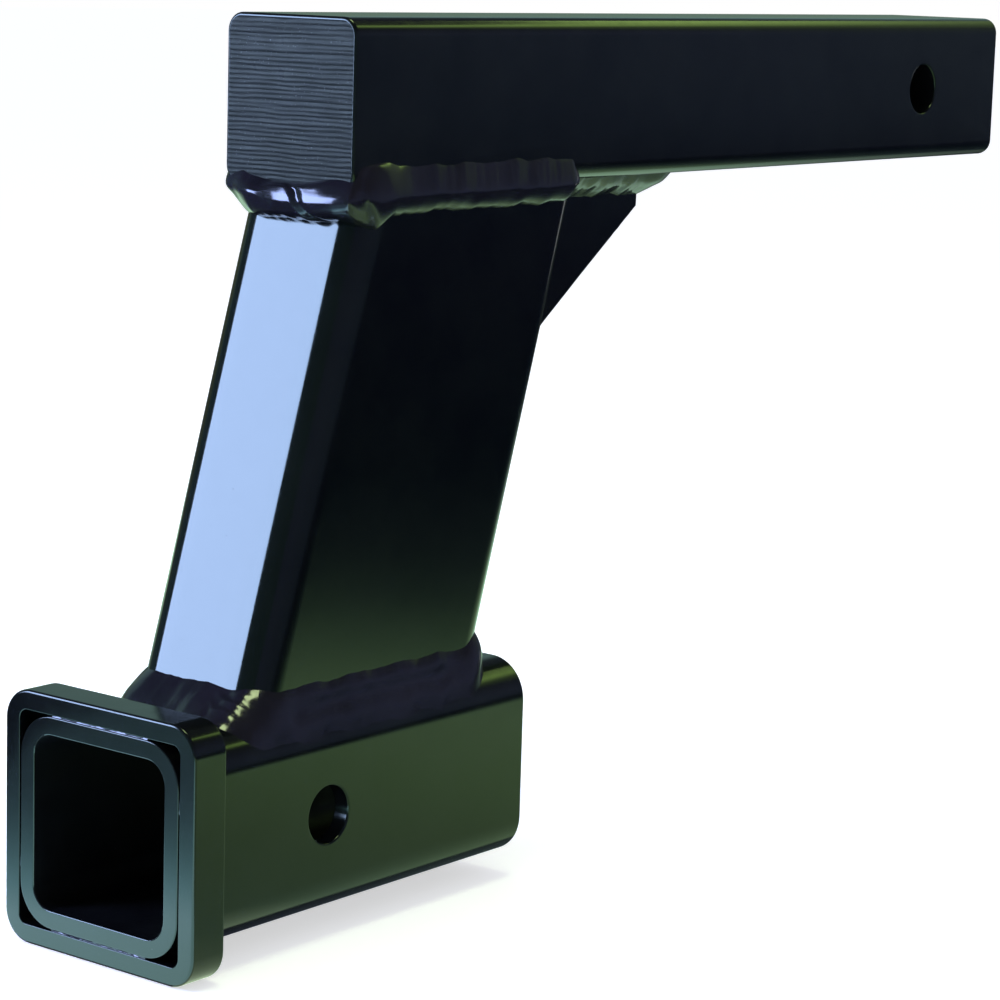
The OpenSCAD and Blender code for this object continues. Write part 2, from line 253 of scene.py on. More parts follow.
def rim(y, inward, radius, rim_r, steps=4):
    """[y, radius] of a rounded hole rim, from the flat on into the hole."""
    turns = [math.pi / 2 * i / steps for i in range(steps + 1)]
    return [(y + inward * rim_r * (1 - math.cos(t)), radius + rim_r * (1 - math.sin(t))) for t in turns]


def cap(bm, ring, row_count, cols, relief):
    """Grid over the end of a bar; relief(y, z) is how far a point is cut back along +X."""
    far = ring[:row_count]
    top = ring[row_count:row_count + cols - 1]
    near = ring[row_count + cols - 1:2 * row_count + cols - 1][::-1]
    low = ring[2 * row_count + cols - 1:][::-1]
    grid = [[far[0], *low, near[0]]]
    for left, right in zip(far[1:-1], near[1:-1]):
        inner = []
        for c in range(1, cols):
            place = left.co.lerp(right.co, c / cols)
            place.x += relief(place.y, place.z)
            inner.append(bm.verts.new(place))
        grid.append([left, *inner, right])
    grid.append([far[-1], *top, near[-1]])
    faces = []
    for a, b in zip(grid, grid[1:]):
        for c in range(cols):
            faces.append(bm.faces.new((a[c], a[c + 1], b[c + 1], b[c])))
    return faces


# Shank

SAW_ROWS = 90
SAW_COLS = 14
SHANK_ARC = 8


def saw_marks(y, z):
    """Depth of the saw's lines, nearly level, from 0 to about 0.2."""
    level = z + 0.02 * y + 0.25 * wander(y * 0.03, 3.1)
    line = 0.09 * wander(level * 0.9, 1.7) + 0.05 * wander(level * 2.3, y * 0.02, 5.2)
    return 0.1 + line + 0.03 * wander(y * 0.25, z * 0.25, 9.0)


def build_shank():
    bm = bmesh.new()
    stations = round_over(SHANK_START, SHANK_BREAK, 1) + round_over(SHANK_END, SHANK_BREAK, -1)[::-1]
    rings = [
        square_ring(bm, x, 0, SHANK_W - 2 * inset, SHANK_R - inset, SHANK_ARC, SAW_ROWS, SAW_COLS)
        for x, inset in stations
    ]
    row_count = 2 * SHANK_ARC + SAW_ROWS + 1
    span = len(stations) // 2 - 1
    far = range(SHANK_ARC, SHANK_ARC + SAW_ROWS)
    near_from = row_count + SAW_COLS - 1 + SHANK_ARC
    near = range(near_from, near_from + SAW_ROWS)
    skin(bm, rings, skip={(span, j) for side in (far, near) for j in side})
    sawn = cap(bm, rings[0], row_count, SAW_COLS, saw_marks)
    sawn += cap(bm, rings[-1], row_count, SAW_COLS, lambda y, z: -saw_marks(y + 200, z + 60))
    rims = rim(HALF_W, -1, PIN_R, PIN_RIM) + rim(-HALF_W, 1, PIN_R, PIN_RIM)[::-1]
    far_rim, near_rim = hole_wall(bm, 0, 0, rims)
    for side, circle, sign in ((far, far_rim, 1), (near, near_rim, -1)):
        ends = list(side) + [side[-1] + 1]
        border = [rings[span][j] for j in ends] + [rings[span + 1][j] for j in reversed(ends)]
        fill_pane(bm, border, circle, sign)
    for face in sawn:
        face.material_index = 1
    return add_piece("shank", bm, ["shank_bar"], "bar_coat", coat, sawn_coat)


# Riser

def riser_front(z):
    return SHANK_START + RISER_SETBACK + (z - RISER_TOP) * math.tan(RISER_LEAN)


def riser_rear(z):
    return riser_front(z) + 2 * RISER_HALF_X


def riser_mid(z):
    return riser_front(z) + RISER_HALF_X


def riser_ring(bm, z, inset):
    size = SHANK_W - 2 * inset, RISER_DEPTH - 2 * inset
    loop = outline_loop(side_rows(*size, RISER_R - inset, RISER_ARC, RISER_ROWS), RISER_COLS)
    return [bm.verts.new((riser_mid(z) + deep / math.cos(RISER_LEAN), across, z)) for across, deep in loop]


def build_riser():
    bm = bmesh.new()
    heights = [mix(RISER_BOTTOM, RISER_TOP, i / RISER_STEPS) for i in range(RISER_STEPS + 1)]
    outer = [riser_ring(bm, z, 0) for z in heights]
    inner = [riser_ring(bm, z, RISER_WALL) for z in (RISER_TOP, RISER_BOTTOM)]
    skin(bm, outer + inner, closed=True)
    for ring in (outer[0], outer[-1], *inner):
        for edge in chain_edges(bm, ring, True):
            edge.smooth = False
    return add_piece("riser", bm, ["riser_tube"], "bar_coat", riser_coat)


# Receiver and collar

def tube_ring(bm, x, size, r, arc):
    """Ring of the receiver or the collar; the flats between the corners are one quad wide."""
    return square_ring(bm, x, RECEIVER_Z, size, r, arc, 1, 1)


def build_receiver():
    bm = bmesh.new()
    outer = round_over(MOUTH_X, MOUTH_BREAK, 1) + round_over(TAIL_X, MOUTH_BREAK, -1)[::-1]
    inner = round_over(TAIL_X, SOCKET_BREAK, -1) + round_over(MOUTH_X, SOCKET_BREAK, 1)[::-1]
    rings = [tube_ring(bm, x, RECEIVER_W - 2 * d, RECEIVER_R - d, RECEIVER_ARC) for x, d in outer]
    rings += [tube_ring(bm, x, SOCKET_W + 2 * d, SOCKET_R + d, RECEIVER_ARC) for x, d in inner]
    far, near = RECEIVER_ARC, 3 * RECEIVER_ARC + 2
    spans = (len(outer) // 2 - 1, len(outer) + len(inner) // 2 - 1)
    skin(bm, rings, closed=True, skip={(span, j) for span in spans for j in (far, near)})
    for side, j in ((1, far), (-1, near)):
        wall = rim(side * RECEIVER_W / 2, -side, PIN_R, PIN_RIM)
        wall += rim(side * SOCKET_W / 2, side, PIN_R, SOCKET_PIN_RIM)[::-1]
        circles = hole_wall(bm, RECEIVER_PIN_X, RECEIVER_Z, wall)
        for span, circle in zip(spans, circles):
            border = [rings[span][j], rings[span][j + 1], rings[span + 1][j + 1], rings[span + 1][j]]
            fill_pane(bm, border, circle, side)
    bore = SOCKET_W / 2 + 0.01  # faces wholly within this distance of the middle line are the socket's
    for face in bm.faces:
        face.material_index = int(all(max(abs(v.co.y), abs(v.co.z - RECEIVER_Z)) < bore for v in face.verts))
    return add_piece("receiver", bm, ["receiver_tube"], "bar_coat", coat, bore_coat)


def build_collar():
    bm = bmesh.new()
    back_x = MOUTH_X + COLLAR_DEPTH
    outer = round_over(MOUTH_X, COLLAR_BREAK, 1) + round_over(back_x, COLLAR_BREAK, -1)[::-1]
    inner = round_over(back_x, COLLAR_INNER_BREAK, -1) + round_over(MOUTH_X, COLLAR_INNER_BREAK, 1)[::-1]
    rings = [tube_ring(bm, x, COLLAR_OUTER - 2 * d, COLLAR_OUTER_R - d, COLLAR_ARC) for x, d in outer]
    rings += [tube_ring(bm, x, COLLAR_INNER + 2 * d, COLLAR_INNER_R + d, COLLAR_ARC) for x, d in inner]
    skin(bm, rings, closed=True)
    return add_piece("collar", bm, ["mouth_collar"], "bar_coat", coat)


# Gusset

def build_gusset():
    """Plate whose outline runs along the shank, down the nose and back to the riser along the slanted cut."""
    bm = bmesh.new()
    start, foot = riser_rear(RISER_TOP), RISER_TOP - GUSSET_DROP
    end = start + GUSSET_RUN
    cut = [(end, RISER_TOP - GUSSET_NOSE), (riser_rear(foot), foot)]
    edge = []
    for i in range(1, CUT_STEPS):
        x, z = (mix(a, b, i / CUT_STEPS) for a, b in zip(*cut))
        drag = CUT_DRAG * wander(i * 0.9, 4.0)
        edge.append((x - 0.7 * drag, z + 0.7 * drag))
    side = [(start, RISER_TOP), (end, RISER_TOP), cut[0], *edge, cut[1]]
    # Each layer is a place across the plate and how far its free edges are drawn in towards the centre.
    layers = [(-GUSSET_HALF, 0.6), (-GUSSET_HALF + 0.2, 0.2), (-GUSSET_HALF + 0.6, 0.0)]
    layers += [(-y, d) for y, d in reversed(layers)]
    centre = Vector((start + GUSSET_RUN * 0.35, 0, RISER_TOP - GUSSET_DROP * 0.3))
    rings = []
    for y, inset in layers:
        ring = []
        for i, (x, z) in enumerate(side):
            place = Vector((x, y, z))
            if i >= 2:
                away = (Vector((x, 0, z)) - centre).normalized()
                place -= away * inset
            ring.append(bm.verts.new(place))
        rings.append(ring)
    skin(bm, rings)
    close_end(bm, rings[0])
    close_end(bm, rings[-1])
    return add_piece("gusset", bm, ["gusset_plate"], "bar_coat", coat)


# Weld beads. The riser's outline is counted in eight stretches: 0 to 1 is its front from the far to the near
# side, 1 to 2 the near front corner, 2 to 3 the near side, and so on round.

FLAT_X = RISER_HALF_X - RISER_R_X
FLAT_Y = HALF_W - RISER_R
CORNER_RUN = math.pi / 2 * RISER_R
STRETCHES = [2 * FLAT_Y, CORNER_RUN, 2 * FLAT_X, CORNER_RUN] * 2
CORNERS = [(-1, 1), (-1, -1), (1, -1), (1, 1)]
OUTLINE_LENGTH = sum(STRETCHES)
LUMP_PITCH = 7.0
SIDE_LUMPS = round(OUTLINE_LENGTH / LUMP_PITCH)
SIDE_SWELLS = round(OUTLINE_LENGTH / (2.7 * LUMP_PITCH))
RUN_OUT = 0.3
BASE_SHIFT = 31


def run_to(s):
    """Length of the outline from place 0 to place s."""
    whole = math.floor(s)
    if whole > 0:
        before = sum(STRETCHES[k % 8] for k in range(whole))
    else:
        before = -sum(STRETCHES[k % 8] for k in range(whole, 0))
    return before + (s - whole) * STRETCHES[whole % 8]


def outline_at(s):
    """Place s of the outline, from the middle of the riser's section, as x, y and direction outwards."""
    k = math.floor(s) % 8
    t = s - math.floor(s)
    on_corner = k % 2 == 1
    after = CORNERS[(k // 2 + 1) % 4]
    before = after if on_corner else CORNERS[k // 2]
    x, y = (mix(a, b, t) for a, b in zip(before, after))
    turn = math.radians(180 + 90 * (k // 2) + (90 * t if on_corner else 0))
    return (
        x * FLAT_X + RISER_R_X * math.cos(turn),
        y * FLAT_Y + RISER_R * math.sin(turn),
        turn,
    )


def places(a, b):
    """Places from a to b, about one bead step apart."""
    out = [a]
    for k in range(math.floor(a), math.ceil(b)):
        low, high = max(a, k), min(b, k + 1)
        count = max(2, math.ceil((high - low) * STRETCHES[k % 8] / BEAD_STEP))
        out += [mix(low, high, i / count) for i in range(1, count + 1)]
    return out


def swell(run):
    """Size of a bead after a run of its path, about 1."""
    turn = 2 * math.pi * run / OUTLINE_LENGTH
    return (
        1
        + 0.012 * math.sin(SIDE_LUMPS * turn)
        + 0.04 * math.sin(SIDE_SWELLS * turn + 0.87)
        + 0.07 * wander(run * 0.12, 2.2)
        + 0.025 * wander(run * 0.5, 4.1)
    )


def run_out(s, end):
    """Size of a bead near the place where it ends."""
    return math.sqrt(mix(0.12, 1, ease(abs(s - end) / RUN_OUT)))


def ring_at(s, section):
    """Ring of a bead at place s of the outline; the section is in distances outwards and heights."""
    x, y, turn = outline_at(s)
    c, d = math.cos(turn), math.sin(turn)
    return [(riser_mid(z) + x + out * c, y + out * d, z) for out, z in section]


def smooth_path(points, count):
    """Even steps along a smooth curve through the points."""
    ends = [points[0], *points, points[-1]]
    out = []
    for i in range(count):
        u = (len(points) - 1) * i / (count - 1)
        k = min(int(u), len(points) - 2)
        t = u - k
        p0, p1, p2, p3 = ends[k:k + 4]
        out.append(tuple(
            0.5 * (
                2 * b + (c - a) * t + (2 * a - 5 * b + 4 * c - d) * t * t
                + (3 * b - a - 3 * c + d) * t ** 3
            )
            for a, b, c, d in zip(p0, p1, p2, p3)
        ))
    return out


def puddled(points, run, ripple=0.05, lump=0.5, extra=None):
    """Visible face of a bead's section, with the ripples and lumps of a hand-laid weld."""
    curve = smooth_path(points, BEAD_POINTS)
    out = []
    for i, (u, v) in enumerate(curve):
        before, after = curve[max(0, i - 1)], curve[min(len(curve) - 1, i + 1)]
        along = Vector((after[0] - before[0], after[1] - before[1]))
        along = along.normalized() if along.length > 1e-9 else Vector((0, -1))
        t = i / (BEAD_POINTS - 1)
        hold = math.sin(math.pi * t) ** 0.6 if 0 < t < 1 else 0
        phase = run / RIPPLE_PITCH + 0.6 * (2 * t - 1) ** 2 + 1.1 * wander(run * 0.2, t * 1.5, 6.0)
        relief = ripple * math.sin(2 * math.pi * phase)
        relief += lump * wander(run * 0.11 + 0.9 * t, t * 1.2, 1.0)
        relief += 0.12 * lump * wander(run * 0.4, t * 3, 8.0)
        if extra:
            relief += extra(run, t)
        out.append((u - along.y * relief * hold, v + along.x * relief * hold))
    return out


def ledge(s):
    """Distance from the outline out to the shank's sawn end or side, whichever comes first."""
    x, y, turn = outline_at(s)
    c, d = math.cos(turn), math.sin(turn)
    to_side = SHANK_W if abs(d) < 0.01 else (HALF_W - abs(y)) / abs(d)
    to_end = SHANK_W if c > -0.01 else -(RISER_SETBACK + RISER_HALF_X + x) / c
    return min(to_side, to_end)


def top_relief(run, t):
    """Valleys between the puddles on the riser's front, and the lip where the near side's bead begins."""
    valleys = 0.9 * bump(run - 14 * (t - 0.4), run_to(0.68), 2.8)
    valleys += 0.9 * bump(run + 2 * (t - 0.4), run_to(1.36), 3)
    lip = run - run_to(1) - 3.7 - 7.5 * t
    return 1.7 * ease(lip / 1.9) * (1 - ease((lip - 3) / 14)) - valleys


def top_section(s, size):
    """Section of the weld under the shank's sawn end and sides, round the front and the near side.

    The bead is hollow round the far front corner (flat) and climbs the sawn end in a lobe beside it. Over
    the far part of the front its face leans back (lean).
    """
    full = swell(run_to(s)) * size
    edge = ledge(s)
    at = s - 8 if s > 4 else s
    side = abs(at - 0.5)
    flat = bump(at, -0.5, 1)
    lobe = ease(1.7 * bump(at, -0.26, 0.3))
    rise = (mix(TOP_FRONT_RISE, TOP_RISE, ease(side - 0.1)) + TOP_LOBE * lobe) * full
    leg = mix(TOP_LEG, TOP_SIDE_LEG, ease((side - 1.1) / 0.6)) * full + 1.2 * bump(at, 1.72, 0.3)
    out = edge + TOP_PROUD * mix(1, full, ease((side - 0.4) / 0.4)) * (1 - flat) + 0.2 * flat
    out += 2.6 * bump(at, 0.08, 0.42) + 0.6 * min(1, max(0, at)) * (1 - ease(at - 1))
    lean = ease((0.4 - at) / 0.2)
    shoulder = mix(edge, out, mix(0.8, 0.25, ease((side - 0.4) / 0.4)))
    face = puddled([
        (edge - ROOT / 3, RISER_TOP + rise + ROOT / 3),
        (mix(shoulder, mix(edge, out, 0.5), lean), RISER_TOP + rise * mix(0.72, 0.5, lean)),
        (out, RISER_TOP - 1.2 * lean * (1 - flat)),
        (out * mix(1, 0.65, flat), RISER_TOP - leg * 0.38),
        (out * mix(0.78, 0.32, flat), RISER_TOP - leg * 0.72),
        (out * mix(0.4, 0.1, flat), RISER_TOP - leg * 0.95),
        (-ROOT / 3, RISER_TOP - leg - ROOT / 3),
    ], run_to(s), mix(0.0, 0.03, ease(at - 1.6)), mix(0.05, 0.6, ease((side - 0.4) / 1.2)), top_relief)
    return [
        (-ROOT, RISER_TOP - leg + ROOT),
        (edge - 1.5 * ROOT, RISER_TOP + rise - ROOT / 3),
        *face,
    ]


def top_rear_section(s, size):
    """Section of the fillet between the riser's rear face, at 0, and the shank's underside."""
    run = run_to(s)
    leg = GUSSET_LEG * swell(run) * size
    face = puddled([
        (leg + ROOT / 3, RISER_TOP + ROOT / 3),
        (leg * 0.72, RISER_TOP - leg * 0.42),
        (leg * 0.42, RISER_TOP - leg * 0.72),
        (-ROOT / 3, RISER_TOP - leg - ROOT / 3),
    ], run)
    return [(-ROOT, RISER_TOP - leg + ROOT), (-ROOT, RISER_TOP + ROOT), (leg - ROOT, RISER_TOP + ROOT), *face]


def receiver_skin(y):
    """Height of the receiver's rounded top at y across."""
    over = max(0.0, abs(y) - (RECEIVER_W / 2 - RECEIVER_R))
    return RISER_BOTTOM - RECEIVER_R + math.sqrt(max(0.0, RECEIVER_R ** 2 - over ** 2))


def base_relief(run, t):
    """Short waves where the bead spreads round the near front corner, and a groove between its two passes."""
    run -= BASE_SHIFT
    corner = bump(run, run_to(1.08), 7.5)
    sway = 0.4 * wander(run * 0.3, t * 3, 3.3)
    waves = 0.28 * corner * math.sin(2 * math.pi * (3.6 * t - 0.13 * run + sway))
    near = ease((run - run_to(1.7)) / 20) * ease((run_to(3.2) - run) / 20)
    return waves - 0.5 * near * bump(t, 0.52, 0.27)


def base_section(s):
    """Section of the weld round the riser's foot, which rests on the receiver's rounded top."""
    full = swell(run_to(s) + LUMP_PITCH / 3)
    y, turn = outline_at(s)[1:]
    at = s - 8 if s > 4 else s
    width = (mix(BASE_TOE, BASE_FRONT_TOE, bump(at, 0.0, 0.9)) + BASE_SPREAD * bump(at, 1.1, 0.9)) * full
    leg = (BASE_LEG + BASE_REAR_CLIMB * (bump(s, 3.4, 0.45) + bump(s, 5.6, 0.45))) * full

    def rest(d):
        return receiver_skin(y + d * math.sin(turn))

    drop = RISER_BOTTOM + leg - rest(width)
    face = puddled([
        (-ROOT / 3, RISER_BOTTOM + leg + ROOT / 3),
        (width * 0.14 + 0.5, rest(width) + drop * 0.84),
        (width * 0.38 + 0.7, rest(width) + drop * 0.60),
        (width * 0.70 + 0.5, rest(width) + drop * 0.30),
        (width, rest(width) - ROOT / 3),
    ], run_to(s) + BASE_SHIFT, 0.02, mix(0.5, 0.3, bump(at, 2.5, 1)), base_relief)
    return [
        (width - ROOT, rest(width - ROOT) - ROOT),
        (-ROOT, rest(-ROOT) - ROOT),
        (-ROOT, RISER_BOTTOM + leg - ROOT),
        *face,
    ]


def gusset_ring(x, turn, run):
    """Ring of the gusset's weld under the shank, in the upright plane that faces direction turn."""
    full = swell(run)
    leg = GUSSET_LEG * full
    c, d = math.cos(turn), math.sin(turn)
    face = GUSSET_HALF / max(abs(c), abs(d))
    toe = GUSSET_HALF + mix(leg, GUSSET_OVERRUN * full, ease(c))
    skin_points = puddled([
        (toe + ROOT / 3, RISER_TOP + ROOT / 3),
        (mix(toe, face, 0.28), RISER_TOP - leg * 0.45),
        (mix(toe, face, 0.6), RISER_TOP - leg * 0.74),
        (face - ROOT / 3, RISER_TOP - leg - ROOT / 3),
    ], run)
    section = [(GUSSET_HALF - ROOT, RISER_TOP + ROOT), (toe - ROOT, RISER_TOP + ROOT), *skin_points]
    return [(x + out * c, out * d, z) for out, z in section]


def upright_ring(z, run, ends):
    """Level ring of the weld between gusset and riser; ends is the distance to the nearer end of the bead."""
    leg = GUSSET_LEG * 0.85 * swell(run) * math.sqrt(mix(0.1, 1, ease(ends / 5)))
    x = riser_rear(z)
    face = puddled([(leg + ROOT / 3, -ROOT / 3), (leg * 0.72, leg * 0.42), (leg * 0.42, leg * 0.72),
                    (-ROOT / 3, leg + ROOT / 3)], run)
    section = [(-ROOT, leg), (-ROOT, -ROOT), (leg, -ROOT), *face]
    return [(x + out, -GUSSET_HALF - side, z) for out, side in section]


def bead(name, rings, node, mirrored=False):
    """Closed bead through rings of as many points."""
    bm = bmesh.new()
    side = -1 if mirrored else 1
    loops = [[bm.verts.new((x, side * y, z)) for x, y, z in ring] for ring in rings]
    skin(bm, loops)
    close_end(bm, loops[0])
    close_end(bm, loops[-1])
    return add_piece(name, bm, [node], "weld_coat", weld_coat)


def steps_between(a, b):
    count = max(2, math.ceil(abs(b - a) / BEAD_STEP))
    return [mix(a, b, i / count) for i in range(count + 1)]


def build_welds():
    for name, a, b, end in (
        ("top_front_weld", -0.5, 1.5, NEAR_END),
        ("top_near_weld", 1.5, NEAR_END, NEAR_END),
        ("top_far_weld", FAR_END, 7.5, FAR_END),
    ):
        rings = [ring_at(s, top_section(s, run_out(s, end))) for s in places(a, b)]
        bead(name.replace("_weld", "_bead"), rings, name)
    for name, a, b in (
        ("base_front_weld", -0.5, 1.5),
        ("base_near_weld", 1.5, 3.5),
        ("base_rear_weld", 3.5, 5.5),
        ("base_far_weld", 5.5, 7.5),
    ):
        bead(name.replace("_weld", "_bead"), [ring_at(s, base_section(s)) for s in places(a, b)], name)
    rear_to = 4 + (FLAT_Y - GUSSET_HALF + ROOT) / (2 * FLAT_Y)
    rear = [ring_at(s, top_rear_section(s, run_out(s, 3.9))) for s in places(3.9, rear_to)]
    corner = GUSSET_LEG * 1.11 + ROOT / 3 + 0.3  # clears the rear beads where they are fullest
    start = riser_rear(RISER_TOP) + corner
    end = riser_rear(RISER_TOP) + GUSSET_RUN - GUSSET_HALF
    shank_side = [gusset_ring(x, -math.pi / 2, x - start) for x in steps_between(start, end)]
    top = RISER_TOP - corner
    foot = RISER_TOP - GUSSET_DROP + 1.6 * GUSSET_LEG
    upright = [upright_ring(z, top - z, min(top - z, z - foot)) for z in steps_between(top, foot)]
    for side, mirrored in (("near", False), ("far", True)):
        bead(f"top_rear_{side}_bead", rear, f"top_rear_{side}_weld", mirrored)
        bead(f"gusset_shank_{side}_bead", shank_side, f"gusset_shank_{side}_weld", mirrored)
        bead(f"gusset_riser_{side}_bead", upright, f"gusset_riser_{side}_weld", mirrored)
    turns = [math.radians(mix(-90, 90, i / 40)) for i in range(41)]
    bead("gusset_end_bead", [gusset_ring(end, t, end - start) for t in turns], "gusset_end_weld")


# Seam welds at the mouth

def build_seam(name, node, turn, length, offset):
    """Rippled fill of the groove between receiver and collar, on the side that turn faces."""
    bm = bmesh.new()
    place = Matrix.Translation((MOUTH_X, 0, RECEIVER_Z)) @ Matrix.Rotation(turn, 4, "X")
    place @= Matrix.Translation((0, offset, RECEIVER_W / 2))
    rings = []
    for y in steps_between(-length / 2, length / 2):
        face = []
        for i in range(SEAM_POINTS):
            t = i / (SEAM_POINTS - 1)
            sunk = 0.3 + 0.25 * math.sin(math.pi * t) + 0.25 * wander(y * 0.5, t * 2, turn)
            face.append((sunk, mix(-0.3, 0.9 + 0.3 * wander(y * 0.5, 7.0, turn), t)))
        section = [(SEAM_W, 0.4), (SEAM_W, -0.3), *face]
        rings.append([bm.verts.new(place @ Vector((x, y, up))) for x, up in section])
    skin(bm, rings)
    close_end(bm, rings[0])
    close_end(bm, rings[-1])
    return add_piece(name, bm, [node], "weld_coat", weld_coat)


def build_seams():
    flat = RECEIVER_W - 2 * RECEIVER_R
    build_seam("top_seam_bead", "collar_top_seam", 0, flat, 0)
    build_seam("bottom_seam_bead", "collar_bottom_seam", math.pi, flat, 0)
    build_seam("near_tack_bead", "collar_near_tack", math.pi / 2, TACK_LENGTH, TACK_OFFSET)
    build_seam("far_tack_bead", "collar_far_tack", -math.pi / 2, TACK_LENGTH, TACK_OFFSET)


# Materials

class Nodes:
    """Short ways to add shader nodes to one material."""

    def __init__(self, material):
        material.use_nodes = True
        self.tree = material.node_tree
        self.tree.nodes.clear()
        self.place = self.add("ShaderNodeTexCoord").outputs["Object"]

    def add(self, kind, **values):
        node = self.tree.nodes.new(kind)
        for key, value in values.items():
            setattr(node, key, value)
        return node

    def link(self, a, b):
        self.tree.links.new(a, b)

    def stretched(self, scale, turn=(0, 0, 0)):
        node = self.add("ShaderNodeMapping")
        node.inputs["Scale"].default_value = scale
        node.inputs["Rotation"].default_value = turn
        self.link(self.place, node.inputs["Vector"])
        return node.outputs["Vector"]

    def noise(self, scale, detail=2.0, rough=0.5, at=None):
        node = self.add("ShaderNodeTexNoise")
        node.inputs["Scale"].default_value = scale
        node.inputs["Detail"].default_value = detail
        node.inputs["Roughness"].default_value = rough
        self.link(at or self.place, node.inputs["Vector"])
        return node.outputs["Fac"]

    def ramp(self, value, *stops):
        node = self.add("ShaderNodeValToRGB")
        elements = node.color_ramp.elements
        while len(elements) < len(stops):
            elements.new(0.5)
        for element, (place, colour) in zip(elements, stops):
            element.position = place
            element.color = (*colour, 1) if isinstance(colour, tuple) else (colour, colour, colour, 1)
        self.link(value, node.inputs["Fac"])
        return node.outputs["Color"]

    def mixed(self, a, b, share, mode="MIX"):
        node = self.add("ShaderNodeMix", data_type="RGBA", blend_type=mode)
        for socket, value in ((node.inputs[6], a), (node.inputs[7], b), (node.inputs[0], share)):
            if hasattr(value, "is_linked"):
                self.link(value, socket)
            else:
                socket.default_value = (*value, 1) if isinstance(value, tuple) else value
        return node.outputs[2]

    def bumped(self, height, distance, normal=None):
        node = self.add("ShaderNodeBump")
        node.inputs["Strength"].default_value = 1.0
        node.inputs["Distance"].default_value = distance
        self.link(height, node.inputs["Height"])
        if normal:
            self.link(normal, node.inputs["Normal"])
        return node.outputs["Normal"]


def coated(name, dark, light, smooth, dull, peel=4e-6, gloss=0.45, tint=(0.84, 1, 0.82), extra=None):
    """Glossy paint: mottled colour, uneven roughness, orange peel and a few specks of dust under the coat."""
    material = bpy.data.materials.new(name)
    n = Nodes(material)
    colour = n.ramp(n.noise(55, 5, 0.6), (0.35, dark), (0.7, light))
    specks = n.ramp(n.noise(1500, 1, 0.5), (0.80, 0.0), (0.86, 1.0))
    colour = n.mixed(colour, (0.10, 0.11, 0.10), specks)
    rough = n.ramp(n.noise(170, 4, 0.6), (0.3, smooth), (0.7, dull))
    normal = n.bumped(n.noise(650, 2, 0.5), peel)
    normal = n.bumped(n.noise(40, 2, 0.5), peel * 6, normal)
    normal = n.bumped(specks, 2e-5, normal)
    if extra:
        colour, rough, normal = extra(n, colour, rough, normal)
    shader = n.add("ShaderNodeBsdfPrincipled")
    shader.inputs["Specular IOR Level"].default_value = gloss
    shader.inputs["Specular Tint"].default_value = (*tint, 1)
    n.link(colour, shader.inputs["Base Color"])
    n.link(rough, shader.inputs["Roughness"])
    n.link(normal, shader.inputs["Normal"])
    output = n.add("ShaderNodeOutputMaterial")
    n.link(shader.outputs["BSDF"], output.inputs["Surface"])
    return material


def saw_streaks(n, colour, rough, normal):
    fine = n.noise(1, 4, 0.7, n.stretched((1, 60, 1500)))
    broad = n.noise(1, 2, 0.5, n.stretched((1, 10, 640)))
    wave = n.add("ShaderNodeTexWave", bands_direction="Z")
    wave.inputs["Scale"].default_value = 225
    wave.inputs["Distortion"].default_value = 3.0
    wave.inputs["Detail"].default_value = 3.0
    n.link(n.stretched((1, 0.3, 1)), wave.inputs["Vector"])
    grit = n.ramp(n.noise(1900, 1, 0.5), (0.70, 0.0), (0.78, 1.0))
    colour = n.mixed(colour, (0.024, 0.029, 0.032), n.ramp(fine, (0.45, 0.0), (0.75, 1.0)))
    colour = n.mixed(colour, (0.020, 0.025, 0.026), n.ramp(wave.outputs["Fac"], (0.3, 0.0), (1.0, 0.7)))
    colour = n.mixed(colour, (0.10, 0.12, 0.12), grit)
    normal = n.bumped(wave.outputs["Fac"], 5e-5, normal)
    return colour, rough, n.bumped(broad, 7e-5, n.bumped(fine, 4e-5, normal))


def tube_seam(n, colour, rough, normal):
    """Faint ripples along the riser's length, as a rolled tube has."""
    ripples = n.noise(1, 2, 0.5, n.stretched((90, 4, 4), (0, -RISER_LEAN, 0)))
    return colour, rough, n.bumped(ripples, 2e-5, normal)


coat = coated("bar_coat", (0.002, 0.0025, 0.0035), (0.005, 0.006, 0.007), 0.12, 0.18)
riser_coat = coated(
    "riser_coat", (0.0015, 0.002, 0.003), (0.0035, 0.0045, 0.005), 0.09, 0.14,
    extra=tube_seam,
)
sawn_coat = coated(
    "sawn_coat", (0.006, 0.008, 0.009), (0.012, 0.015, 0.017), 0.27, 0.38,
    gloss=0.09, tint=(0.84, 1, 0.66), extra=saw_streaks,
)
bore_coat = coated("bore_coat", (0.002, 0.002, 0.003), (0.005, 0.005, 0.006), 0.42, 0.60, gloss=0.12)
weld_coat = coated(
    "weld_coat", (0.006, 0.006, 0.010), (0.011, 0.010, 0.017), 0.12, 0.20,
    peel=6e-6, gloss=0.56, tint=(0.95, 1, 1),
)

build_shank()
build_riser()
build_receiver()
build_collar()
build_gusset()
build_welds()
build_seams()


# Stage, in metres

FLOOR_GAP = 0.35 * MM
FLOOR_Z = (RECEIVER_Z - COLLAR_OUTER / 2) * MM - FLOOR_GAP
FLOOR_HALF = 9.0
FLOOR_GLOW = 0.58
CARD_LIFT = 0.0005
WALL_TOP = 2.4
CEILING_Z = 2.2
CEILING_HALF = 3


def seen_rays(tree):
    """1 for rays that show the background: from the camera, reflected or let through."""
    path = tree.nodes.new("ShaderNodeLightPath")
    total = None
    for name in ("Is Camera Ray", "Is Glossy Ray", "Is Transmission Ray"):
        if total is None:
            total = path.outputs[name]
            continue
        add = tree.nodes.new("ShaderNodeMath")
        add.operation = "ADD"
        add.use_clamp = True
        tree.links.new(total, add.inputs[0])
        tree.links.new(path.outputs[name], add.inputs[1])
        total = add.outputs[0]
    return total


